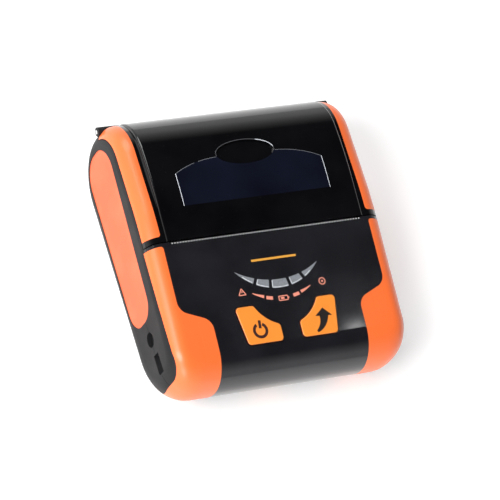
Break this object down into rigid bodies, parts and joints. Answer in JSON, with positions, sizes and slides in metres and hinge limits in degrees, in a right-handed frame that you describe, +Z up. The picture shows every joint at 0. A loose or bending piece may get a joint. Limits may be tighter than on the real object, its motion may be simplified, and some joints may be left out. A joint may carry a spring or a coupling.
{
  "type": "portable receipt printer",
  "caption": "palm-sized battery thermal printer with a hinged roll cover, smoked window, sloping key panel, saw-edged tear bar and grip inlays on both sides",
  "frame": {"origin": "centre of the overall box, on the plane of the underside", "axes": "+X to the right as seen from the control panel, +Y from the panel to the hinge, +Z up"},
  "size_m": [0.108, 0.1192, 0.0489],
  "materials": {
    "case_black": "fine-grained dark grey moulding",
    "panel_black": "polished black",
    "cover_black": "polished black",
    "orange_gloss": "smooth orange",
    "orange_rubber": "soft orange grip",
    "key_orange": "satin orange",
    "window_smoke": "smoked clear",
    "lens_clear": "frosted clear",
    "steel": "bright steel",
    "sheet_steel": "plated sheet",
    "screw_steel": "blackened steel",
    "spring_steel": "spring wire",
    "platen_black": "ground rubber",
    "gear_white": "natural acetal",
    "brass": "turned",
    "bushing_grey": "filled nylon",
    "motor_metal": "drawn can",
    "aluminium": "extruded",
    "ceramic": "glazed strip",
    "board_green": "solder mask",
    "chip_black": "moulded",
    "socket_black": "moulded",
    "socket_metal": "plated shell",
    "contact_gold": "plated",
    "lamp_white": "clear resin",
    "battery_grey": "fine-grained",
    "latch_orange": "satin orange",
    "bay_black": "fine-grained"
  },
  "bodies": {
    "base": {"case_lower": "case_black", "case_upper": "case_black", "control_fascia": "panel_black", "bumper_right": "orange_gloss", "bumper_left": "orange_gloss", "side_grip_right": "orange_rubber", "side_grip_left": "orange_rubber", "indicator_lenses": "lens_clear", "indicator_lamps": "lamp_white", "tear_bar": "steel", "mech_frame": "sheet_steel", "mech_screws": "screw_steel", "head_pivot": "steel", "head_springs": "spring_steel", "stepper_motor": "motor_metal", "idler_pin": "steel", "paper_bay": "bay_black", "main_board": "board_green", "board_chips": "chip_black", "board_screws": "screw_steel", "key_board": "board_green", "key_board_posts": "bushing_grey", "tact_switches": "socket_black", "dc_jack": "socket_black", "usb_socket": "socket_metal", "battery_contacts": "contact_gold", "case_screws": "screw_steel", "hinge_pin": "steel"},
    "cover": {"cover_shell": "cover_black", "cover_band_right": "orange_gloss", "cover_band_left": "orange_gloss", "cover_window": "window_smoke", "platen_carrier": "bay_black", "platen_bushings": "bushing_grey", "carrier_screws": "screw_steel"},
    "platen": {"platen_rubber": "platen_black", "platen_shaft": "steel", "platen_gear": "gear_white"},
    "idler": {"idler_gear": "gear_white"},
    "rotor": {"motor_pinion": "brass", "motor_shaft": "steel"},
    "head": {"head_heatsink": "aluminium", "head_ceramic": "ceramic"},
    "power_button": {"power_key": "key_orange", "power_plunger": "gear_white"},
    "feed_button": {"feed_key": "key_orange", "feed_plunger": "gear_white"},
    "battery": {"battery_pack": "battery_grey"},
    "latch": {"battery_latch": "latch_orange"}
  },
  "joints": [
    {"name": "cover_hinge", "type": "hinge", "parent": "base", "child": "cover", "pos_m": [0, 0.05763, 0.0312], "axis": [-1, 0, 0], "range_deg": [0, 95]},
    {"name": "platen_spin", "type": "hinge", "parent": "cover", "child": "platen", "pos_m": [0, 0.00568, 0.0372], "axis": [1, 0, 0], "continuous": true},
    {"name": "idler_spin", "type": "hinge", "parent": "base", "child": "idler", "pos_m": [-0.046, -0.00127, 0.03138], "axis": [1, 0, 0], "continuous": true},
    {"name": "motor_spin", "type": "hinge", "parent": "base", "child": "rotor", "pos_m": [-0.046, -0.01314, 0.02928], "axis": [1, 0, 0], "continuous": true},
    {"name": "head_rock", "type": "hinge", "parent": "base", "child": "head", "pos_m": [0, -0.00063, 0.0265], "axis": [-1, 0, 0], "range_deg": [0, 1.5], "stiffness_Nm_per_rad": 0.3, "deforming": ["head_springs"]},
    {"name": "power_press", "type": "slide", "parent": "base", "child": "power_button", "axis": [0, 0.1336, -0.991], "range_m": [0, 0.0005], "stiffness_N_per_m": 3000},
    {"name": "feed_press", "type": "slide", "parent": "base", "child": "feed_button", "axis": [0, 0.1336, -0.991], "range_m": [0, 0.0005], "stiffness_N_per_m": 3000},
    {"name": "battery_out", "type": "slide", "parent": "base", "child": "battery", "axis": [0, 0, -1], "range_m": [0, 0.03]},
    {"name": "latch_press", "type": "slide", "parent": "base", "child": "latch", "axis": [0, 1, 0], "range_m": [0, 0.0012], "stiffness_N_per_m": 800}
  ],
  "couplings": [
    {"joint": "idler_spin", "follows": "platen_spin", "ratio": -2},
    {"joint": "motor_spin", "follows": "platen_spin", "ratio": 6}
  ]
}
